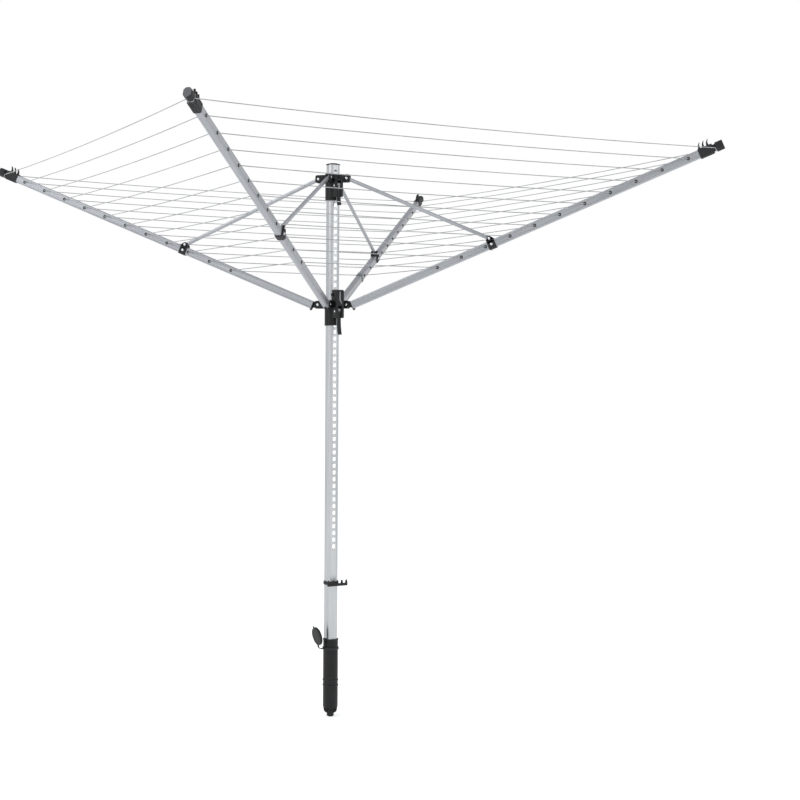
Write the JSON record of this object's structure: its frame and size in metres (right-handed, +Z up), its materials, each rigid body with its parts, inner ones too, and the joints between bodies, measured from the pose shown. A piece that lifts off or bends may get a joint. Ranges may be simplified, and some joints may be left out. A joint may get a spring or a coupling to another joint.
{
  "type": "rotary clothesline",
  "caption": "Rotary clothesline: folding arms and struts on a sliding hub, a perforated aluminium mast turning in a ground socket, and a spiral of line.",
  "frame": {"origin": "on the mast axis, level with the rim of the ground socket, where the mast enters the ground", "axes": "+Z up along the mast; the arms point along -Y (front), +X (right), +Y (back) and -X (left)"},
  "size_m": [2.8868, 2.8868, 2.1378],
  "materials": {
    "aluminium": "satin",
    "steel_rivet": "bright",
    "black_plastic": "matt, fine grain",
    "grey_plastic": "matt",
    "line_pvc": "satin"
  },
  "bodies": {
    "ground_socket": {"ground_socket": "black_plastic", "lid_strap": "black_plastic"},
    "socket_lid": {"socket_lid": "black_plastic"},
    "mast_foot": {"mast_foot": "black_plastic"},
    "mast": {"mast_tube": "aluminium", "mast_cap": "black_plastic", "hanger_rack": "black_plastic"},
    "upper_hub": {"upper_hub": "black_plastic", "upper_lever_pin": "steel_rivet", "hub_pin_front": "steel_rivet", "hub_pin_right": "steel_rivet", "hub_pin_back": "steel_rivet", "hub_pin_left": "steel_rivet"},
    "upper_lever": {"upper_lever": "black_plastic"},
    "lower_hub": {"lower_hub": "black_plastic", "lower_lever_pin": "steel_rivet", "clothes_line": "line_pvc", "arm_pin_front": "steel_rivet", "arm_pin_right": "steel_rivet", "arm_pin_back": "steel_rivet", "arm_pin_left": "steel_rivet"},
    "lower_lever": {"lower_lever": "black_plastic"},
    "strut_front": {"strut_tube_front": "aluminium"},
    "arm_front": {"arm_tube_front": "aluminium", "arm_root_front": "black_plastic", "end_sleeve_front": "black_plastic", "end_cap_front": "black_plastic", "strut_clamp_front": "black_plastic", "clamp_rivet_front": "steel_rivet", "strut_pin_front": "steel_rivet"},
    "strut_right": {"strut_tube_right": "aluminium"},
    "arm_right": {"arm_tube_right": "aluminium", "arm_root_right": "black_plastic", "end_sleeve_right": "black_plastic", "end_cap_right": "black_plastic", "strut_clamp_right": "black_plastic", "clamp_rivet_right": "steel_rivet", "strut_pin_right": "steel_rivet"},
    "strut_back": {"strut_tube_back": "aluminium"},
    "arm_back": {"arm_tube_back": "aluminium", "arm_root_back": "black_plastic", "end_sleeve_back": "black_plastic", "end_cap_back": "black_plastic", "strut_clamp_back": "black_plastic", "clamp_rivet_back": "steel_rivet", "strut_pin_back": "steel_rivet", "line_clip": "grey_plastic"},
    "strut_left": {"strut_tube_left": "aluminium"},
    "arm_left": {"arm_tube_left": "aluminium", "arm_root_left": "black_plastic", "end_sleeve_left": "black_plastic", "end_cap_left": "black_plastic", "strut_clamp_left": "black_plastic", "clamp_rivet_left": "steel_rivet", "strut_pin_left": "steel_rivet"}
  },
  "joints": [
    {"name": "mast_lift", "type": "slide", "parent": "ground_socket", "child": "mast_foot", "axis": [0, 0, 1], "range_m": [0, 0.3]},
    {"name": "mast_spin", "type": "hinge", "parent": "mast_foot", "child": "mast", "pos_m": [0, 0, 0], "axis": [0, 0, 1], "continuous": true},
    {"name": "height_adjust", "type": "slide", "parent": "mast", "child": "upper_hub", "axis": [0, 0, 1], "range_m": [-0.15, 0]},
    {"name": "strut_fold_front", "type": "hinge", "parent": "upper_hub", "child": "strut_front", "pos_m": [0, -0.056, 1.74832], "axis": [1, 0, 0], "range_deg": [0, 64], "deforming": ["clothes_line"]},
    {"name": "strut_fold_right", "type": "hinge", "parent": "upper_hub", "child": "strut_right", "pos_m": [0.056, 0, 1.74832], "axis": [0, 1, 0], "range_deg": [0, 64]},
    {"name": "strut_fold_back", "type": "hinge", "parent": "upper_hub", "child": "strut_back", "pos_m": [0, 0.056, 1.74832], "axis": [-1, 0, 0], "range_deg": [0, 64]},
    {"name": "strut_fold_left", "type": "hinge", "parent": "upper_hub", "child": "strut_left", "pos_m": [-0.056, 0, 1.74832], "axis": [0, -1, 0], "range_deg": [0, 64]},
    {"name": "arm_fold_front", "type": "hinge", "parent": "strut_front", "child": "arm_front", "pos_m": [0, -0.60577, 1.50766], "axis": [-1, 0, 0], "range_deg": [0, 128]},
    {"name": "arm_fold_right", "type": "hinge", "parent": "strut_right", "child": "arm_right", "pos_m": [0.60577, 0, 1.50766], "axis": [0, -1, 0], "range_deg": [0, 128]},
    {"name": "arm_fold_back", "type": "hinge", "parent": "strut_back", "child": "arm_back", "pos_m": [0, 0.60577, 1.50766], "axis": [1, 0, 0], "range_deg": [0, 128]},
    {"name": "arm_fold_left", "type": "hinge", "parent": "strut_left", "child": "arm_left", "pos_m": [-0.60577, 0, 1.50766], "axis": [0, 1, 0], "range_deg": [0, 128]},
    {"name": "lower_hub_ride", "type": "hinge", "parent": "arm_front", "child": "lower_hub", "pos_m": [0, -0.056, 1.267], "axis": [1, 0, 0], "range_deg": [0, 64]},
    {"name": "lower_lever_swing", "type": "hinge", "parent": "lower_hub", "child": "lower_lever", "pos_m": [0.03535, -0.03535, 1.241], "axis": [-0.7071, -0.7071, 0], "range_deg": [0, 35]},
    {"name": "upper_lever_swing", "type": "hinge", "parent": "upper_hub", "child": "upper_lever", "pos_m": [0.0297, -0.0297, 1.71832], "axis": [-0.7071, -0.7071, 0], "range_deg": [0, 35]},
    {"name": "socket_lid_hinge", "type": "hinge", "parent": "ground_socket", "child": "socket_lid", "pos_m": [-0.03719, -0.03719, -0.024], "axis": [0.7071, -0.7071, 0], "range_deg": [-18, 45]}
  ],
  "couplings": [
    {"joint": "strut_fold_right", "follows": "strut_fold_front", "ratio": 1},
    {"joint": "strut_fold_back", "follows": "strut_fold_front", "ratio": 1},
    {"joint": "strut_fold_left", "follows": "strut_fold_front", "ratio": 1},
    {"joint": "arm_fold_front", "follows": "strut_fold_front", "ratio": 2},
    {"joint": "arm_fold_right", "follows": "strut_fold_front", "ratio": 2},
    {"joint": "arm_fold_back", "follows": "strut_fold_front", "ratio": 2},
    {"joint": "arm_fold_left", "follows": "strut_fold_front", "ratio": 2},
    {"joint": "lower_hub_ride", "follows": "strut_fold_front", "ratio": 1}
  ]
}
